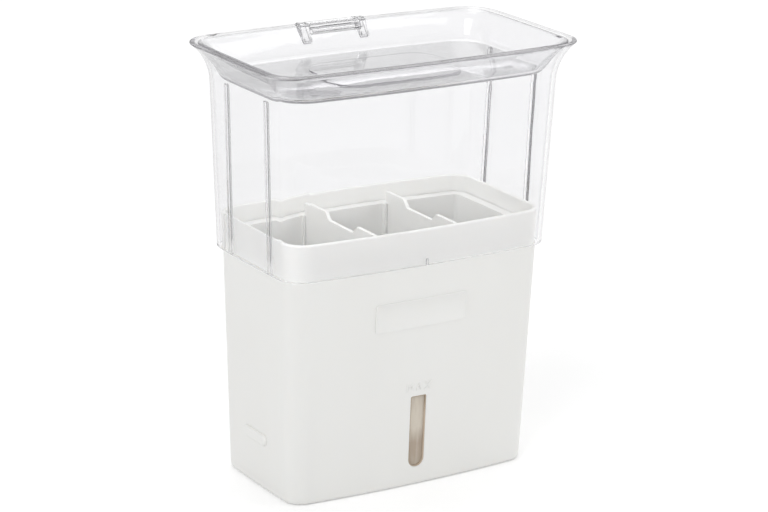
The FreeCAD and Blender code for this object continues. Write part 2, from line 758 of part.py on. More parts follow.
def make_lid():
    body = new_body("lid")

    def outline(name, z, inset):
        return lid_outline(body, name, z, inset)

    floor_z = "(%s + lid_lift)" % FLARE_START
    inside_z = "(%s + lid_floor)" % floor_z
    top_z = "(total_height - lid_drop)"
    for name, floor, inset, radius, add in (
            ("outer_tray", floor_z, "0", "lid_round", True),
            ("inner_tray", inside_z, "lid_wall", "lid_inner_round", False)):
        first = "(%s + %s)" % (floor, radius)
        heights = ["%s + (%s - %s) * %s" % (first, top_z, first, share) for share in ("0.33", "0.67", "1")]
        vessel(body, name, outline, floor, inset, radius, heights, add)
    round_edges(body, "edge_rounding", "lid_edge", level("(total_height - lid_drop)"))
    panel = bowed_outline(
        body, "panel_outline", inside_z, "panel_half_x", "panel_half_y", "panel_corner", "short_bow", "short_bow")
    pad(body, "panel", panel, "panel_height")

    # The tongue runs from the lid's back wall to the barrel about the pin
    rim_y = hood_half("y", LID_TOP_RISE, "(hood_wall + lid_gap)")
    top = "(total_height - lid_drop - lid_edge)"
    tongue = polygon(body, "tongue_outline", "YZ_Plane", [
        ("%s - lid_wall" % rim_y, top),
        ("%s - 2 * lid_wall" % rim_y, top + " - tongue_thickness"),
        (HINGE_Y, top + " - tongue_thickness"),
        (HINGE_Y, top)])
    pad(body, "tongue", tongue, "2 * barrel_half_length", both=True)
    barrel = disc(body, "barrel_outline", "YZ_Plane", HINGE_Y, HINGE_Z, "barrel_radius")
    pad(body, "barrel", barrel, "2 * barrel_half_length", both=True)
    bore = disc(body, "bore_outline", "YZ_Plane", HINGE_Y, HINGE_Z, "pin_radius + pin_play")
    pocket(body, "barrel_bore", bore, "4 * barrel_half_length", both=True)
    return body


bodies = [
    make_base(),
    make_window(),
    make_basket(),
    make_divider("divider_left", -1),
    make_divider("divider_right", 1),
    make_hood(),
    make_pin(),
    make_lid(),
]
doc.recompute()

failed = [item.Name for item in doc.Objects if "Invalid" in item.State or "Error" in item.State]
if failed:
    raise RuntimeError("not built: " + ", ".join(failed))
for body in bodies:
    if body.Shape.isNull() or not body.Shape.isValid() or len(body.Shape.Solids) != 1:
        raise RuntimeError("not one valid solid: " + body.Label)

os.makedirs("parts", exist_ok=True)
for body in bodies:
    body.Shape.exportStep("parts/%s.step" % body.Label)
    box = body.Shape.BoundBox
    print("%s %.1f x %.1f x %.1f mm, %.0f mm3" % (
        body.Label, box.XLength, box.YLength, box.ZLength, body.Shape.Volume))
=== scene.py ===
"""The looks of the herb keeper: moulded plastics, the small forms on its front, and the stage."""

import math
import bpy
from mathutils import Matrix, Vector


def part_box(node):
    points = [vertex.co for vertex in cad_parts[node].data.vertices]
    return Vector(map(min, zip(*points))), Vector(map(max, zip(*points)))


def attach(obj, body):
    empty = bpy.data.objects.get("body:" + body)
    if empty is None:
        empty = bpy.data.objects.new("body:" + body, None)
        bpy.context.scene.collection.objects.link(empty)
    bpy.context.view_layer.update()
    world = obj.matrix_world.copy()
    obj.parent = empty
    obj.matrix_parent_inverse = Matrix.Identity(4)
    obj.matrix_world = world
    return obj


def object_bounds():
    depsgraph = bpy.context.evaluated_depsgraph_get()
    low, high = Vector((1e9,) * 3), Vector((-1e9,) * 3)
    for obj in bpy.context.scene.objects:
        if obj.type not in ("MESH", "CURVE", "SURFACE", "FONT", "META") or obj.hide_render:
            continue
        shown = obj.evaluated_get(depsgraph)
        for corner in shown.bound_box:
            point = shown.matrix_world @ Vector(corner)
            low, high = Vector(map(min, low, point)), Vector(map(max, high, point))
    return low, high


bl_info = {
    "name": "Herb keeper",
    "version": (1, 0, 0),
    "blender": (4, 5, 0),
    "location": "3D View > Sidebar > Keeper",
    "description": "Finishes the herb keeper's solids and sets up its studio picture",
    "category": "Object",
}

import bmesh
import bpy
from bpy.props import FloatProperty, FloatVectorProperty, PointerProperty, StringProperty
from mathutils import Matrix, Vector
from mathutils.bvhtree import BVHTree

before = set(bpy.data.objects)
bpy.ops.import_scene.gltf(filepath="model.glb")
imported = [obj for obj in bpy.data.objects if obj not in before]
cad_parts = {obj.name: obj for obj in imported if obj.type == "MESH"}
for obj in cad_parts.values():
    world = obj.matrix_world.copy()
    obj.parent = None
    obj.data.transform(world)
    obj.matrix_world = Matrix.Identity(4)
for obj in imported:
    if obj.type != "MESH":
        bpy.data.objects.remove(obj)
CAD_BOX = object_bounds()

WHITE_NODES = ("base_reservoir", "inner_basket", "divider_left", "divider_right")
CLEAR_NODES = ("hood", "hinge_pin")

# Edges sharper than these stay sharp, on the solids and lettering and on the small trim
BODY_ANGLE = math.radians(30)
TRIM_ANGLE = math.radians(35)
# The solids' loose triangles are joined where their corners are this close, in metres
JOINED_DISTANCE = 0.000002
UPRIGHT = Matrix.Rotation(math.radians(90), 3, "X")

PLASTIC_IOR = 1.49
# Depth of the slow waves in the clear surfaces, and in the window's, in metres
CLEAR_WAVES = 0.00012
WINDOW_WAVES = 0.0001
# What a clear wall takes from a lamp's light
LAMP_TINT = (0.96, 0.96, 0.96)
# A ray counts as trapped in clear plastic after this many mirrorings, or turns of any kind
TRAPPED_MIRRORINGS = 2.5
TRAPPED_TURNS = 9.5
# How far a view leans along a clear wall where its painted shade begins, and where it is full
LEAN_BEGINS = 0.48
LEAN_FULL = 0.94
# How nearly a rounded edge faces as its surface does, on a painted shade line and beside it
LINE_FACING = 0.93
PLAIN_FACING = 0.998
# Under this height over a clear piece's foot, its painted shade lines keep only this share
FOOT_BAND = 0.006
FOOT_LINES = 0.25

FLOOR_RADIUS = 9.0
LAMPS = (
    ("key_lamp", "key_power", (-1.60, -0.85, 1.35), 1.3),
    ("fill_lamp", "fill_power", (1.05, -0.80, 0.50), 0.9),
    ("top_lamp", "top_power", (0.35, 0.75, 1.9), 1.3),
)
LAMP_AIM = Vector((0, 0, 0.12))
SENSOR_WIDTH = 36.0


# Settings


class KeeperCamera(bpy.types.PropertyGroup):
    azimuth: FloatProperty(
        name="Azimuth", description="Turn of the camera about the keeper",
        default=math.radians(-32.23), subtype="ANGLE")
    elevation: FloatProperty(
        name="Elevation", description="Height of the camera above the horizon",
        default=math.radians(17.44), subtype="ANGLE")
    roll: FloatProperty(
        name="Roll", description="Lean of the camera about its own view",
        default=math.radians(1.26), subtype="ANGLE")
    distance: FloatProperty(
        name="Distance", description="From the camera to the point it looks at", default=1.4369,
        subtype="DISTANCE", unit="LENGTH")
    lens: FloatProperty(name="Lens", description="Focal length in millimetres", default=129.06)
    aim_side: FloatProperty(
        name="Aim to the side", description="How far right of the middle the camera looks",
        default=0.00212, subtype="DISTANCE", unit="LENGTH")
    aim_height: FloatProperty(
        name="Aim height", description="Height of the point the camera looks at", default=0.11475,
        subtype="DISTANCE", unit="LENGTH")


class KeeperLight(bpy.types.PropertyGroup):
    key_power: FloatProperty(
        name="Key", description="Power of the lamp in front on the left", default=15.0,
        unit="POWER")
    fill_power: FloatProperty(
        name="Fill", description="Power of the lamp on the right", default=4.2, unit="POWER")
    top_power: FloatProperty(
        name="Top", description="Power of the lamp above and behind", default=9.0, unit="POWER")
    room_level: FloatProperty(
        name="Room", description="Level of the even light all round", default=0.56)
    floor_lift: FloatProperty(
        name="Floor lift", description="What the floor adds round the keeper to look white",
        default=0.19)
    far_lift: FloatProperty(
        name="Far lift", description="What the floor adds far from the lamps to look white",
        default=0.60)
    far_start: FloatProperty(
        name="Far start", description="Distance at which the floor starts to add more",
        default=0.8, subtype="DISTANCE", unit="LENGTH")
    far_end: FloatProperty(
        name="Far end", description="Distance at which the floor adds its most", default=2.2,
        subtype="DISTANCE", unit="LENGTH")
    floor_colour: FloatVectorProperty(
        name="Floor", description="Colour of the floor", default=(0.93, 0.93, 0.93),
        subtype="COLOR")


class KeeperPlastic(bpy.types.PropertyGroup):
    white: FloatVectorProperty(
        name="White", description="Colour of the moulded white plastic",
        default=(0.850, 0.850, 0.832), subtype="COLOR")
    white_shade: FloatVectorProperty(
        name="White shade", description="Colour of the white plastic's darker flow marks",
        default=(0.832, 0.830, 0.808), subtype="COLOR")
    clear: FloatVectorProperty(
        name="Clear", description="Colour of the clear plastic", default=(0.943, 0.943, 0.949),
        subtype="COLOR")
    # Dark shade painted on the clear plastic's edges and where a wall is seen along its length
    edge: FloatVectorProperty(
        name="Edge tint",
        description="What the clear plastic turns to on its edges and seen along a wall",
        default=(0.02, 0.02, 0.023), subtype="COLOR")
    # Width of the dark shade line painted along each clear edge
    edge_width: FloatProperty(
        name="Edge width", description="Width of the dark line along each clear edge",
        default=0.0009, subtype="DISTANCE", unit="LENGTH")
    # Shares of the painted shade where the hood and the lid are seen along a wall
    hood_slant_shade: FloatProperty(
        name="Hood slant", description="Share of the edge tint where the hood is seen along a wall",
        default=0.50, min=0.0, max=1.0, subtype="FACTOR")
    lid_slant_shade: FloatProperty(
        name="Lid slant", description="Share of the edge tint where the lid is seen along a wall",
        default=0.72, min=0.0, max=1.0, subtype="FACTOR")
    trapped: FloatVectorProperty(
        name="Trapped light",
        description="Tint of the light that has turned many times inside the clear plastic",
        default=(0.70, 0.695, 0.71), subtype="COLOR")
    deep: FloatVectorProperty(
        name="Deep tint", description="What the clear plastic turns to along a thick path",
        default=(0.62, 0.60, 0.64), subtype="COLOR")
    deep_density: FloatProperty(
        name="Deep density", description="How fast the deep tint builds up", default=4.0)
    tint: FloatVectorProperty(
        name="Window tint", description="Colour of the window's foot", default=(0.60, 0.50, 0.40),
        subtype="COLOR")
    # The window's colour where the lit inside is painted as seen through it
    tint_lit_inside: FloatVectorProperty(
        name="Window pale", description="Colour of the window over its water line",
        default=(0.88, 0.81, 0.70), subtype="COLOR")
    # Dark brown painted on the lip as the shade in the slot's side wall
    lip_shade_tint: FloatVectorProperty(
        name="Window lip", description="Colour of the lip round the window",
        default=(0.36, 0.28, 0.20), subtype="COLOR")
    grain: FloatProperty(
        name="Grain depth", description="Depth of the white plastic's fine grain", default=0.00003,
        subtype="DISTANCE", unit="LENGTH")


class KeeperFront(bpy.types.PropertyGroup):
    plate_width: FloatProperty(
        name="Plate width", description="Width of the blank plate", default=0.0555,
        subtype="DISTANCE", unit="LENGTH")
    plate_height: FloatProperty(
        name="Plate height", description="Height of the blank plate", default=0.0155,
        subtype="DISTANCE", unit="LENGTH")
    plate_level: FloatProperty(
        name="Plate level", description="Height of the plate's middle", default=0.0962,
        subtype="DISTANCE", unit="LENGTH")
    plate_rise: FloatProperty(
        name="Plate rise", description="How proud the plate's rim stands", default=0.00045,
        subtype="DISTANCE", unit="LENGTH")
    window_half_width: FloatProperty(
        name="Window half width", description="Half the width of the window's slot",
        default=0.00470, subtype="DISTANCE", unit="LENGTH")
    window_foot: FloatProperty(
        name="Window foot", description="Height of the slot's round foot", default=0.01065,
        subtype="DISTANCE", unit="LENGTH")
    window_top: FloatProperty(
        name="Window top", description="Height of the slot's flat top", default=0.05045,
        subtype="DISTANCE", unit="LENGTH")
    window_round: FloatProperty(
        name="Window corners", description="Radius of the slot's top corners", default=0.0009,
        subtype="DISTANCE", unit="LENGTH")
    # Foot of the paler band painted on the window as the lit inside seen through it
    pale_band_foot: FloatProperty(
        name="Water line", description="Height at which the window's tint deepens", default=0.0283,
        subtype="DISTANCE", unit="LENGTH")
    lip_width: FloatProperty(
        name="Lip width", description="Width of the lip round the window", default=0.00045,
        subtype="DISTANCE", unit="LENGTH")
    lip_depth: FloatProperty(
        name="Lip depth", description="Depth of that lip", default=0.00115, subtype="DISTANCE",
        unit="LENGTH")
    tab_width: FloatProperty(
        name="Tab width", description="Width of the tab on the hood's foot", default=0.0013,
        subtype="DISTANCE", unit="LENGTH")
    tab_height: FloatProperty(
        name="Tab height", description="Height of that tab", default=0.0036, subtype="DISTANCE",
        unit="LENGTH")
    tab_rise: FloatProperty(
        name="Tab rise", description="How proud that tab stands", default=0.0005,
        subtype="DISTANCE", unit="LENGTH")
    mark_word: StringProperty(name="Mark", description="Word over the window", default="MAX")
    mark_level: FloatProperty(
        name="Mark level", description="Height of the word's foot", default=0.0535,
        subtype="DISTANCE", unit="LENGTH")
    mark_height: FloatProperty(
        name="Mark height", description="Height of its letters", default=0.0040,
        subtype="DISTANCE", unit="LENGTH")
    mark_width: FloatProperty(
        name="Mark width", description="Width of the whole word", default=0.0148,
        subtype="DISTANCE", unit="LENGTH")
    mark_rise: FloatProperty(
        name="Mark rise", description="How proud the letters stand", default=0.00035,
        subtype="DISTANCE", unit="LENGTH")


SETTINGS = {
    "keeper_camera": KeeperCamera,
    "keeper_light": KeeperLight,
    "keeper_plastic": KeeperPlastic,
    "keeper_front": KeeperFront,
}


# Shader nodes


def add_node(tree, kind, values=None, **fields):
    """A node with its fields set and its input sockets given plain values."""
    node = tree.nodes.new(kind)
    for name, field in fields.items():
        setattr(node, name, field)
    for name, number in (values or {}).items():
        node.inputs[name].default_value = number
    return node


def link(tree, start, end):
    """Join an output to an input."""
    tree.links.new(start, end)


def colour(rgb):
    """A setting's colour as a socket takes it."""
    return (rgb[0], rgb[1], rgb[2], 1.0)


def group_sockets(tree, inputs, outputs):
    """Give a node group its sockets: name, type and default."""
    for name, kind, default in inputs:
        socket = tree.interface.new_socket(name=name, in_out="INPUT", socket_type=kind)
        if default is not None:
            socket.default_value = default
    for name, kind in outputs:
        tree.interface.new_socket(name=name, in_out="OUTPUT", socket_type=kind)
    return tree.nodes.new("NodeGroupInput"), tree.nodes.new("NodeGroupOutput")


def noise(tree, vector, scale, detail=2.0, roughness=0.5):
    node = add_node(tree, "ShaderNodeTexNoise", {
        "Scale": scale, "Detail": detail, "Roughness": roughness})
    link(tree, vector, node.inputs["Vector"])
    return node.outputs["Fac"]


def scaled(tree, source, low, high, from_low=0.3, from_high=0.7):
    """Map a range, by default the middle of a noise's, to the one that a socket needs."""
    node = add_node(tree, "ShaderNodeMapRange", {
        "From Min": from_low, "From Max": from_high, "To Min": low, "To Max": high})
    link(tree, source, node.inputs["Value"])
    return node.outputs["Result"]


def math_node(tree, operation, first, second):
    node = add_node(tree, "ShaderNodeMath", operation=operation)
    for socket, source in zip(node.inputs, (first, second)):
        if isinstance(source, (int, float)):
            socket.default_value = source
        else:
            link(tree, source, socket)
    return node.outputs[0]


def moulding_group():
    """The marks of injection moulding: flow of the melt, fine grain of the steel, and rubs."""
    tree = bpy.data.node_groups.new("moulding_marks", "ShaderNodeTree")
    start, end = group_sockets(tree, [
        ("Vector", "NodeSocketVector", None),
        ("Flow Scale", "NodeSocketFloat", 18.0),
        ("Grain Scale", "NodeSocketFloat", 1800.0),
        ("Grain Share", "NodeSocketFloat", 0.5),
        ("Smooth", "NodeSocketFloat", 0.3),
        ("Rough", "NodeSocketFloat", 0.4),
    ], [
        ("Flow", "NodeSocketFloat"),
        ("Roughness", "NodeSocketFloat"),
        ("Height", "NodeSocketFloat"),
    ])
    stretch = add_node(tree, "ShaderNodeMapping", {"Scale": (1.0, 1.0, 0.35)})
    link(tree, start.outputs["Vector"], stretch.inputs["Vector"])
    flow = add_node(tree, "ShaderNodeTexNoise", {"Detail": 3.0, "Distortion": 0.6})
    link(tree, stretch.outputs["Vector"], flow.inputs["Vector"])
    link(tree, start.outputs["Flow Scale"], flow.inputs["Scale"])
    grain = add_node(tree, "ShaderNodeTexNoise", {"Detail": 2.0, "Roughness": 0.6})
    link(tree, start.outputs["Vector"], grain.inputs["Vector"])
    link(tree, start.outputs["Grain Scale"], grain.inputs["Scale"])
    rubs = noise(tree, start.outputs["Vector"], 70.0, 5.0, 0.65)
    spread = add_node(tree, "ShaderNodeMapRange", {"From Min": 0.35, "From Max": 0.7})
    link(tree, rubs, spread.inputs["Value"])
    link(tree, start.outputs["Smooth"], spread.inputs["To Min"])
    link(tree, start.outputs["Rough"], spread.inputs["To Max"])
    fine = math_node(tree, "MULTIPLY", grain.outputs["Fac"], start.outputs["Grain Share"])
    height = math_node(tree, "ADD", fine, flow.outputs["Fac"])
    link(tree, scaled(tree, flow.outputs["Fac"], 0.0, 1.0), end.inputs["Flow"])
    link(tree, spread.outputs["Result"], end.inputs["Roughness"])
    link(tree, height, end.inputs["Height"])
    return tree


def marked(tree, group, values):
    """Place the moulding marks in a material, read at the object's own coordinates."""
    place = add_node(tree, "ShaderNodeTexCoord")
    marks = add_node(tree, "ShaderNodeGroup")
    marks.node_tree = group
    for name, number in values.items():
        marks.inputs[name].default_value = number
    link(tree, place.outputs["Object"], marks.inputs["Vector"])
    return marks


def bumped(tree, shader, height, depth):
    """Give the surface small waves of a depth in metres."""
    bump = add_node(tree, "ShaderNodeBump", {"Strength": 1.0, "Distance": depth})
    link(tree, height, bump.inputs["Height"])
    link(tree, bump.outputs["Normal"], shader.inputs["Normal"])


def blend(tree, share, low, high):
    """Mix two colours by a share that varies over the surface."""
    tone = add_node(tree, "ShaderNodeMixRGB", {"Color1": colour(low), "Color2": colour(high)})
    link(tree, share, tone.inputs["Fac"])
    return tone.outputs["Color"]


def shade_line_share(tree, width):
    """1 on an edge and 0 away from it: how far a bevel of this width would turn the surface; it
    places painted shade lines.
    """
    rounded = add_node(tree, "ShaderNodeBevel", {"Radius": width}, samples=4)
    surface = add_node(tree, "ShaderNodeNewGeometry")
    turn = add_node(tree, "ShaderNodeVectorMath", operation="DOT_PRODUCT")
    link(tree, rounded.outputs["Normal"], turn.inputs[0])
    link(tree, surface.outputs["Normal"], turn.inputs[1])
    facing = math_node(tree, "ABSOLUTE", turn.outputs["Value"], 0.0)
    return scaled(tree, facing, 1.0, 0.0, LINE_FACING, PLAIN_FACING)


def new_material(name):
    material = bpy.data.materials.new(name)
    material.use_nodes = True
    tree = material.node_tree
    return material, tree, tree.nodes["Principled BSDF"], tree.nodes["Material Output"]


def white_plastic(group, settings):
    """Satin white plastic with faint flow marks and a fine grain."""
    material, tree, shader, _ = new_material("white_moulded_plastic")
    marks = marked(tree, group, {
        "Flow Scale": 14.0, "Grain Scale": 1500.0, "Grain Share": 0.35,
        "Smooth": 0.30, "Rough": 0.40})
    tone = blend(tree, marks.outputs["Flow"], settings.white, settings.white_shade)
    link(tree, tone, shader.inputs["Base Color"])
    link(tree, marks.outputs["Roughness"], shader.inputs["Roughness"])
    shader.inputs["IOR"].default_value = PLASTIC_IOR
    shader.inputs["Subsurface Weight"].default_value = 0.12
    shader.inputs["Subsurface Radius"].default_value = (1.0, 0.9, 0.8)
    shader.inputs["Subsurface Scale"].default_value = 0.002
    bumped(tree, shader, marks.outputs["Height"], settings.grain)
    return material


def straight_through(tree, share, shader, tint):
    """Let a share of the rays through a shader unbent, tinted."""
    through = add_node(tree, "ShaderNodeBsdfTransparent", {"Color": colour(tint)})
    mix = add_node(tree, "ShaderNodeMixShader")
    link(tree, share, mix.inputs[0])
    link(tree, shader.outputs[0], mix.inputs[1])
    link(tree, through.outputs[0], mix.inputs[2])
    return mix


def lamp_path(tree, shader, output, trapped):
    """Let the lamps shine through a clear shader, and let out the rays trapped in it, tinted."""
    path = add_node(tree, "ShaderNodeLightPath")
    mirrored = math_node(tree, "GREATER_THAN", path.outputs["Glossy Depth"], TRAPPED_MIRRORINGS)
    turned = math_node(tree, "GREATER_THAN", path.outputs["Ray Depth"], TRAPPED_TURNS)
    freed = straight_through(tree, math_node(tree, "MAXIMUM", mirrored, turned), shader, trapped)
    lit = straight_through(tree, path.outputs["Is Shadow Ray"], freed, LAMP_TINT)
    link(tree, lit.outputs[0], output.inputs["Surface"])


def over_level(tree, level, fade, below=0.0, above=1.0):
    """One value under a height in the object's own frame and another over it."""
    place = add_node(tree, "ShaderNodeTexCoord")
    height = add_node(tree, "ShaderNodeSeparateXYZ")
    link(tree, place.outputs["Object"], height.inputs["Vector"])
    return scaled(tree, height.outputs["Z"], below, above, level - fade, level + fade)


def clear_plastic(name, group, settings, slant_shade_share, foot):
    """Clear hard plastic: nearly colourless through a wall, with grey shade painted along it and on
    its edges.
    """
    material, tree, shader, output = new_material(name)
    marks = marked(tree, group, {
        "Flow Scale": 22.0, "Grain Scale": 420.0, "Grain Share": 0.02,
        "Smooth": 0.008, "Rough": 0.03})
    # Painted shade: the colour darkens where the view leans along a wall
    slant = add_node(tree, "ShaderNodeLayerWeight", {"Blend": 0.5})
    along = scaled(tree, slant.outputs["Facing"], 0.0, slant_shade_share, LEAN_BEGINS, LEAN_FULL)
    # Painted shade: dark lines along every clear edge, fainter over the foot
    kept = over_level(tree, foot + FOOT_BAND, fade=0.002, below=FOOT_LINES)
    lines = math_node(tree, "MULTIPLY", shade_line_share(tree, settings.edge_width), kept)
    share = math_node(tree, "MAXIMUM", along, lines)
    # The colour runs from clear to the painted dark shade
    link(tree, blend(tree, share, settings.clear, settings.edge), shader.inputs["Base Color"])
    shader.inputs["Transmission Weight"].default_value = 1.0
    shader.inputs["IOR"].default_value = PLASTIC_IOR
    link(tree, marks.outputs["Roughness"], shader.inputs["Roughness"])
    bumped(tree, shader, marks.outputs["Height"], CLEAR_WAVES)
    lamp_path(tree, shader, output, settings.trapped)
    depth = add_node(tree, "ShaderNodeVolumeAbsorption", {
        "Color": colour(settings.deep), "Density": settings.deep_density})
    link(tree, depth.outputs[0], output.inputs["Volume"])
    return material


def lip_shade_plastic(group, settings):
    """The deep beige of the window's cut edge, painted dark as the shade in the slot's side wall.
    """
    material, tree, shader, _ = new_material("window_lip_plastic")
    marks = marked(tree, group, {
        "Flow Scale": 90.0, "Grain Scale": 700.0, "Grain Share": 0.05,
        "Smooth": 0.10, "Rough": 0.20})
    tone = blend(tree, marks.outputs["Flow"], settings.lip_shade_tint, settings.tint)
    link(tree, tone, shader.inputs["Base Color"])
    link(tree, marks.outputs["Roughness"], shader.inputs["Roughness"])
    shader.inputs["IOR"].default_value = PLASTIC_IOR
    bumped(tree, shader, marks.outputs["Height"], WINDOW_WAVES)
    return material


def tinted_plastic(group, settings, pale_band_foot):
    """The window's cloudy beige plastic, streaked upright, with a paler band painted over a set
    height as the lit inside seen through it, less pale near the top.
    """
    material, tree, shader, output = new_material("tinted_clear_plastic")
    marks = marked(tree, group, {
        "Flow Scale": 60.0, "Grain Scale": 700.0, "Grain Share": 0.05,
        "Smooth": 0.06, "Rough": 0.16})
    place = add_node(tree, "ShaderNodeTexCoord")
    long_way = add_node(tree, "ShaderNodeMapping", {"Scale": (1.0, 1.0, 0.12)})
    link(tree, place.outputs["Object"], long_way.inputs["Vector"])
    streaks = scaled(tree, noise(tree, long_way.outputs["Vector"], 420.0, 2.0, 0.6), -0.25, 0.35)
    # Painted light: the band over this height stands in for the lit basket seen through the window
    over_band_foot = over_level(tree, pale_band_foot, fade=0.005)
    near_top = over_level(tree, pale_band_foot + 0.012, fade=0.006, above=-0.35)
    lit_inside_band = math_node(tree, "ADD", over_band_foot, near_top)
    pale = math_node(tree, "ADD", lit_inside_band, streaks)
    link(tree, blend(tree, pale, settings.tint, settings.tint_lit_inside), shader.inputs["Base Color"])
    shader.inputs["Transmission Weight"].default_value = 0.35
    shader.inputs["IOR"].default_value = PLASTIC_IOR
    link(tree, marks.outputs["Roughness"], shader.inputs["Roughness"])
    bumped(tree, shader, marks.outputs["Height"], WINDOW_WAVES)
    lamp_path(tree, shader, output, settings.tint)
    return material


def seen_rays(tree):
    """1 for a ray from the camera, a mirror or clear plastic, 0 for one that lights something."""
    path = add_node(tree, "ShaderNodeLightPath")
    seen = math_node(tree, "MAXIMUM", path.outputs["Is Camera Ray"], path.outputs["Is Glossy Ray"])
    return math_node(tree, "MAXIMUM", seen, path.outputs["Is Transmission Ray"])


def floor_material(settings):
    """A pale floor that looks white to the camera and still takes the keeper's shadow."""
    material, tree, shader, output = new_material("studio_floor")
    shader.inputs["Base Color"].default_value = colour(settings.floor_colour)
    shader.inputs["Roughness"].default_value = 0.9
    shader.inputs["Specular IOR Level"].default_value = 0.0
    place = add_node(tree, "ShaderNodeTexCoord")
    away = add_node(tree, "ShaderNodeVectorMath", operation="LENGTH")
    link(tree, place.outputs["Object"], away.inputs[0])
    lift = scaled(
        tree, away.outputs["Value"], settings.floor_lift, settings.far_lift,
        settings.far_start, settings.far_end)
    glow = add_node(tree, "ShaderNodeEmission", {"Color": (1, 1, 1, 1)})
    link(tree, math_node(tree, "MULTIPLY", seen_rays(tree), lift), glow.inputs["Strength"])
    both = add_node(tree, "ShaderNodeAddShader")
    link(tree, shader.outputs[0], both.inputs[0])
    link(tree, glow.outputs[0], both.inputs[1])
    link(tree, both.outputs[0], output.inputs["Surface"])
    return material


# Meshes


def finish_piece(name, mesh_maker, body, material, sharp_angle=TRIM_ANGLE):
    """Make an object from a bmesh, ride it on its body and give it its finish."""
    mesh = bpy.data.meshes.new(name)
    mesh_maker.to_mesh(mesh)
    mesh_maker.free()
    piece = bpy.data.objects.new(name, mesh)
    bpy.context.scene.collection.objects.link(piece)
    piece.data.materials.append(material)
    piece.data.shade_smooth()
    piece.data.set_sharp_from_angle(angle=sharp_angle)
    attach(piece, body)


def wall_tree(node):
    """The CAD node's own faces, to seat a new form on them."""
    return BVHTree.FromObject(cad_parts[node], bpy.context.evaluated_depsgraph_get())


def seat_on_front(mesh, walls, aside=None):
    """Push each vertex back until its y counts from the front wall behind it.

    With aside given, it counts from the wall that far to the left or right of the middle.
    """
    outside = CAD_BOX[0][1] - 0.05
    for vertex in mesh.verts:
        across = vertex.co.x if aside is None else math.copysign(aside, vertex.co.x)
        hit = walls.ray_cast(Vector((across, outside, vertex.co.z)), Vector((0, 1, 0)))[0]
        if hit is None:
            raise RuntimeError("the front wall isn't behind %s" % vertex.co)
        vertex.co.y += hit.y


def smooth_group():
    """Geometry nodes that shade smooth and keep the sharp edges."""
    tree = bpy.data.node_groups.new("smooth_by_angle", "GeometryNodeTree")
    tree.interface.new_socket(name="Geometry", in_out="INPUT", socket_type="NodeSocketGeometry")
    tree.interface.new_socket(name="Geometry", in_out="OUTPUT", socket_type="NodeSocketGeometry")
    start, end = tree.nodes.new("NodeGroupInput"), tree.nodes.new("NodeGroupOutput")
    faces = add_node(tree, "GeometryNodeSetShadeSmooth", domain="FACE")
    edges = add_node(tree, "GeometryNodeSetShadeSmooth", domain="EDGE")
    bend = add_node(tree, "GeometryNodeInputMeshEdgeAngle")
    gentle = add_node(tree, "FunctionNodeCompare", data_type="FLOAT", operation="LESS_THAN")
    gentle.inputs["B"].default_value = BODY_ANGLE
    link(tree, start.outputs["Geometry"], faces.inputs["Geometry"])
    link(tree, faces.outputs["Geometry"], edges.inputs["Geometry"])
    link(tree, bend.outputs["Unsigned Angle"], gentle.inputs["A"])
    link(tree, gentle.outputs["Result"], edges.inputs["Shade Smooth"])
    link(tree, edges.outputs["Geometry"], end.inputs["Geometry"])
    return tree


def dress(node_name, material):
    """Give a CAD node its finish, and show its triangles joined and smooth."""
    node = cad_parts[node_name]
    node.data.materials.clear()
    node.data.materials.append(material)
    weld = node.modifiers.new("joined", "WELD")
    weld.merge_threshold = JOINED_DISTANCE
    tree = bpy.data.node_groups.get("smooth_by_angle") or smooth_group()
    node.modifiers.new("smooth", "NODES").node_group = tree


def marks_group():
    return bpy.data.node_groups.get("moulding_marks") or moulding_group()


def white_finish(context):
    """The finish of every white part, made once."""
    return bpy.data.materials.get("white_moulded_plastic") or white_plastic(
        marks_group(), context.scene.keeper_plastic)


def clear_finish(context):
    """The hood's finish, which its pin and its tab share."""
    settings = context.scene.keeper_plastic
    return bpy.data.materials.get("clear_hood_plastic") or clear_plastic(
        "clear_hood_plastic", marks_group(), settings, settings.hood_slant_shade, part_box("hood")[0].z)


# Operators


class KEEPER_OT_white_parts(bpy.types.Operator):
    """Finish the reservoir, the basket and its dividers in satin white plastic"""
    bl_idname = "keeper.white_parts"
    bl_label = "White parts"

    def execute(self, context):
        for name in WHITE_NODES:
            dress(name, white_finish(context))
        return {"FINISHED"}


class KEEPER_OT_clear_parts(bpy.types.Operator):
    """Finish the hood, the lid and the hinge pin in clear plastic"""
    bl_idname = "keeper.clear_parts"
    bl_label = "Clear parts"

    def execute(self, context):
        for name in CLEAR_NODES:
            dress(name, clear_finish(context))
        settings = context.scene.keeper_plastic
        dress("lid", clear_plastic(
            "clear_lid_plastic", marks_group(), settings, settings.lid_slant_shade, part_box("lid")[0].z))
        return {"FINISHED"}


class KEEPER_OT_window(bpy.types.Operator):
    """Finish the window insert in cloudy beige plastic, with the lit inside painted on it as a
    paler band
    """
    bl_idname = "keeper.window"
    bl_label = "Window"

    def execute(self, context):
        pale_band_foot = context.scene.keeper_front.pale_band_foot
        dress("water_window", tinted_plastic(
            marks_group(), context.scene.keeper_plastic, pale_band_foot))
        return {"FINISHED"}


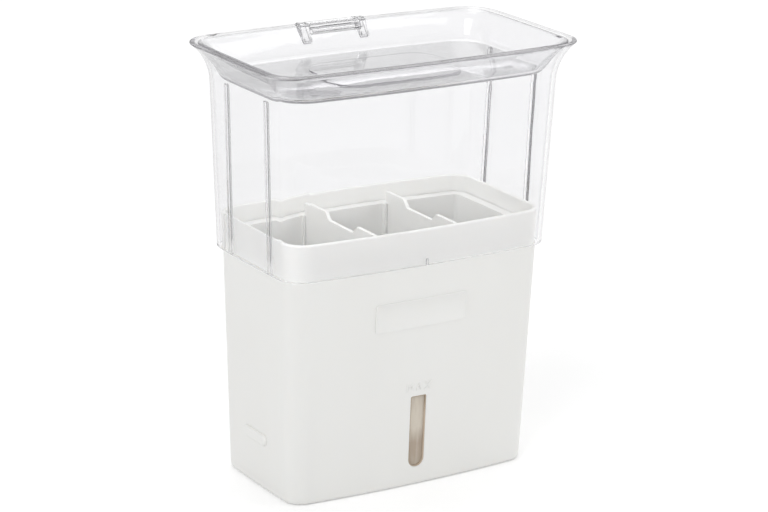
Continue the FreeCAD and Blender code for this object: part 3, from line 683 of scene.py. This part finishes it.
class KEEPER_OT_window_lip(bpy.types.Operator):
    """Line the window's slot with the deep edge of its insert, coloured dark as painted shade of
    the slot's wall
    """
    bl_idname = "keeper.window_lip"
    bl_label = "Window lip"

    foot_roundness = 0.98
    sunk = 0.00005
    beside_slot = 0.0015

    def execute(self, context):
        front = context.scene.keeper_front
        half, tall = front.window_half_width, front.window_top - front.window_foot
        lip = bmesh.new()
        bmesh.ops.create_grid(lip, x_segments=1, y_segments=1, size=0.5)
        bmesh.ops.scale(lip, vec=(2 * half, tall, 1), verts=lip.verts)
        rounds = ((-1, half * self.foot_roundness, 10), (1, front.window_round, 4))
        for end, offset, segments in rounds:
            corners = [vertex for vertex in lip.verts if vertex.co.y * end > tall * 0.49]
            bmesh.ops.bevel(
                lip, geom=corners, offset=offset, affect="VERTICES", segments=segments,
                profile=0.5, material=-1)
        bmesh.ops.inset_region(
            lip, faces=lip.faces[:], thickness=front.lip_width, depth=0,
            use_boundary=True, use_even_offset=True)
        pane = max(lip.faces, key=lambda face: len(face.verts))
        bmesh.ops.delete(lip, geom=[pane], context="FACES_ONLY")
        deep = bmesh.ops.extrude_face_region(lip, geom=lip.faces[:])["geom"]
        moved = [part for part in deep if isinstance(part, bmesh.types.BMVert)]
        bmesh.ops.translate(lip, vec=(0, 0, -front.lip_depth), verts=moved)
        bmesh.ops.recalc_face_normals(lip, faces=lip.faces)
        shoulders = [edge for edge in lip.edges if edge.calc_face_angle(0) > math.radians(60)]
        bmesh.ops.bevel(
            lip, geom=shoulders, offset=front.lip_width * 0.25, affect="EDGES", segments=2,
            profile=0.5, material=-1)
        bmesh.ops.rotate(lip, matrix=UPRIGHT, verts=lip.verts)
        middle = (front.window_top + front.window_foot) / 2
        bmesh.ops.translate(lip, vec=(0, self.sunk, middle), verts=lip.verts)
        seat_on_front(lip, wall_tree("base_reservoir"), half + self.beside_slot)
        bmesh.ops.recalc_face_normals(lip, faces=lip.faces)
        finish = lip_shade_plastic(marks_group(), context.scene.keeper_plastic)
        finish_piece("window_lip", lip, "base", finish)
        return {"FINISHED"}


class KEEPER_OT_gate_tab(bpy.types.Operator):
    """Raise the small upright tab at the middle of the hood's front foot"""
    bl_idname = "keeper.gate_tab"
    bl_label = "Gate tab"

    over_foot = 0.0004

    def execute(self, context):
        front = context.scene.keeper_front
        tab = bmesh.new()
        bmesh.ops.create_cube(tab, size=1.0)
        size = (front.tab_width, 2 * front.tab_rise, front.tab_height)
        bmesh.ops.scale(tab, vec=size, verts=tab.verts)
        bmesh.ops.bevel(
            tab, geom=tab.edges[:], offset=front.tab_rise * 0.45, affect="EDGES", segments=3,
            profile=0.5, material=-1)
        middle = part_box("hood")[0].z + front.tab_height / 2 + self.over_foot
        bmesh.ops.translate(tab, vec=(0, 0, middle), verts=tab.verts)
        seat_on_front(tab, wall_tree("hood"))
        finish_piece("gate_tab", tab, "hood", clear_finish(context))
        return {"FINISHED"}


class KEEPER_OT_blank_plate(bpy.types.Operator):
    """Raise a blank plate with a shallow rim on the reservoir's front"""
    bl_idname = "keeper.blank_plate"
    bl_label = "Blank plate"

    corner = 0.0018
    sunk = 0.0004
    rim_width = 0.0007
    step_width = 0.0003
    step_depth = 0.0002
    columns = 12

    def execute(self, context):
        front = context.scene.keeper_front
        plate = bmesh.new()
        bmesh.ops.create_grid(plate, x_segments=1, y_segments=1, size=0.5)
        bmesh.ops.scale(plate, vec=(front.plate_width, front.plate_height, 1), verts=plate.verts)
        bmesh.ops.bevel(
            plate, geom=plate.verts[:], offset=self.corner, affect="VERTICES", segments=5,
            profile=0.5, material=-1)
        bmesh.ops.rotate(plate, matrix=UPRIGHT, verts=plate.verts)
        bmesh.ops.translate(plate, vec=(0, self.sunk, front.plate_level), verts=plate.verts)
        raised = bmesh.ops.extrude_discrete_faces(plate, faces=plate.faces[:])["faces"][0]
        bmesh.ops.translate(
            plate, vec=(0, -self.sunk - front.plate_rise, 0), verts=raised.verts)
        bmesh.ops.inset_region(plate, faces=[raised], thickness=self.rim_width, depth=0)
        bmesh.ops.inset_region(
            plate, faces=[raised], thickness=self.step_width, depth=-self.step_depth)
        for column in range(1, self.columns):
            cut = front.plate_width * (column / self.columns - 0.5)
            bmesh.ops.bisect_plane(
                plate, geom=plate.verts[:] + plate.edges[:] + plate.faces[:],
                plane_co=(cut, 0, 0), plane_no=(1, 0, 0))
        bmesh.ops.recalc_face_normals(plate, faces=plate.faces)
        seat_on_front(plate, wall_tree("base_reservoir"))
        finish_piece("blank_plate", plate, "base", white_finish(context))
        return {"FINISHED"}


class KEEPER_OT_fill_mark(bpy.types.Operator):
    """Raise the fill mark's word on the front over the window"""
    bl_idname = "keeper.fill_mark"
    bl_label = "Fill mark"

    sunk = 0.0003

    def execute(self, context):
        front = context.scene.keeper_front
        letters = self.solid_word(context, front.mark_word)
        low = [min(vertex.co[axis] for vertex in letters.verts) for axis in range(2)]
        high = [max(vertex.co[axis] for vertex in letters.verts) for axis in range(2)]
        middle = (low[0] + high[0]) / 2
        bmesh.ops.translate(letters, vec=(-middle, -low[1], 0), verts=letters.verts)
        bmesh.ops.scale(letters, vec=(
            front.mark_width / (high[0] - low[0]), front.mark_height / (high[1] - low[1]),
            front.mark_rise + self.sunk), verts=letters.verts)
        bmesh.ops.rotate(letters, matrix=UPRIGHT, verts=letters.verts)
        depth = (self.sunk - front.mark_rise) / 2
        bmesh.ops.translate(letters, vec=(0, depth, front.mark_level), verts=letters.verts)
        seat_on_front(letters, wall_tree("base_reservoir"))
        bmesh.ops.recalc_face_normals(letters, faces=letters.faces)
        finish_piece(
            "fill_mark", letters, "base", white_finish(context), BODY_ANGLE)
        return {"FINISHED"}

    def solid_word(self, context, text):
        """The word as closed letters one unit thick."""
        word = bpy.data.curves.new("fill_mark_word", "FONT")
        word.body = text
        word.align_x = "CENTER"
        word.space_character = 1.5
        word.extrude = 0.5
        carrier = bpy.data.objects.new("fill_mark_word", word)
        context.scene.collection.objects.link(carrier)
        context.view_layer.update()
        flat = bpy.data.meshes.new_from_object(carrier)
        bpy.data.objects.remove(carrier)
        letters = bmesh.new()
        letters.from_mesh(flat)
        bpy.data.meshes.remove(flat)
        bmesh.ops.remove_doubles(letters, verts=letters.verts, dist=0.0001)
        return letters


class KEEPER_OT_stage(bpy.types.Operator):
    """Lay the floor, hang the lamps and set the camera where the photograph was taken"""
    bl_idname = "keeper.stage"
    bl_label = "Stage"

    def execute(self, context):
        light = context.scene.keeper_light
        self.floor(context, light)
        for name, setting, place, size in LAMPS:
            self.lamp(context, name, getattr(light, setting), place, size)
        self.room(context, light)
        self.camera(context)
        context.scene.view_settings.view_transform = "Standard"
        return {"FINISHED"}

    def floor(self, context, light):
        disc = bmesh.new()
        bmesh.ops.create_circle(
            disc, cap_ends=True, cap_tris=False, segments=96, radius=FLOOR_RADIUS)
        mesh = bpy.data.meshes.new("floor")
        disc.to_mesh(mesh)
        disc.free()
        mesh.materials.append(floor_material(light))
        floor = bpy.data.objects.new("floor", mesh)
        context.scene.collection.objects.link(floor)

    def lamp(self, context, name, power, place, size):
        data = bpy.data.lights.new(name, "AREA")
        data.energy = power
        data.size = size
        lamp = bpy.data.objects.new(name, data)
        lamp.location = place
        aim = LAMP_AIM - lamp.location
        lamp.rotation_euler = aim.to_track_quat("-Z", "Y").to_euler()
        context.scene.collection.objects.link(lamp)

    def room(self, context, light):
        world = bpy.data.worlds.new("studio_room")
        context.scene.world = world
        world.use_nodes = True
        tree = world.node_tree
        shade = tree.nodes["Background"]
        shade.inputs["Color"].default_value = (1, 1, 1, 1)
        level = add_node(tree, "ShaderNodeMapRange", {"To Min": light.room_level, "To Max": 1.0})
        link(tree, seen_rays(tree), level.inputs["Value"])
        link(tree, level.outputs["Result"], shade.inputs["Strength"])

    def camera(self, context):
        view = context.scene.keeper_camera
        turn, lift = view.azimuth, view.elevation
        back = Vector((
            math.sin(turn) * math.cos(lift), -math.cos(turn) * math.cos(lift), math.sin(lift)))
        right = Vector((math.cos(turn), math.sin(turn), 0))
        up = back.cross(right)
        aim = Vector((0, 0, view.aim_height)) + view.aim_side * right
        lean_right = right * math.cos(view.roll) + up * math.sin(view.roll)
        lean_up = up * math.cos(view.roll) - right * math.sin(view.roll)
        data = bpy.data.cameras.new("camera")
        data.lens = view.lens
        data.sensor_width = SENSOR_WIDTH
        data.clip_end = 50.0
        camera = bpy.data.objects.new("camera", data)
        place = Matrix((lean_right, lean_up, back)).transposed().to_4x4()
        place.translation = aim + view.distance * back
        camera.matrix_world = place
        context.scene.collection.objects.link(camera)
        context.scene.camera = camera


OPERATORS = (
    KEEPER_OT_stage,
    KEEPER_OT_white_parts,
    KEEPER_OT_clear_parts,
    KEEPER_OT_window,
    KEEPER_OT_window_lip,
    KEEPER_OT_gate_tab,
    KEEPER_OT_blank_plate,
    KEEPER_OT_fill_mark,
)


class KEEPER_PT_panel(bpy.types.Panel):
    """Lists the keeper's operators and settings"""
    bl_idname = "KEEPER_PT_panel"
    bl_label = "Herb keeper"
    bl_space_type = "VIEW_3D"
    bl_region_type = "UI"
    bl_category = "Keeper"

    def draw(self, context):
        for operator in OPERATORS:
            self.layout.operator(operator.bl_idname)
        for name, group in SETTINGS.items():
            box = self.layout.box()
            for field in group.__annotations__:
                box.prop(getattr(context.scene, name), field)


def register():
    for group in SETTINGS.values():
        bpy.utils.register_class(group)
    for name, group in SETTINGS.items():
        setattr(bpy.types.Scene, name, PointerProperty(type=group))
    for operator in OPERATORS:
        bpy.utils.register_class(operator)
    bpy.utils.register_class(KEEPER_PT_panel)


def unregister():
    bpy.utils.unregister_class(KEEPER_PT_panel)
    for operator in reversed(OPERATORS):
        bpy.utils.unregister_class(operator)
    for name in SETTINGS:
        delattr(bpy.types.Scene, name)
    for group in SETTINGS.values():
        bpy.utils.unregister_class(group)


def main():
    register()
    bpy.ops.keeper.stage()
    bpy.ops.keeper.white_parts()
    bpy.ops.keeper.clear_parts()
    bpy.ops.keeper.window()
    bpy.ops.keeper.window_lip()
    bpy.ops.keeper.gate_tab()
    bpy.ops.keeper.blank_plate()
    bpy.ops.keeper.fill_mark()


if __name__ == "__main__":
    main()
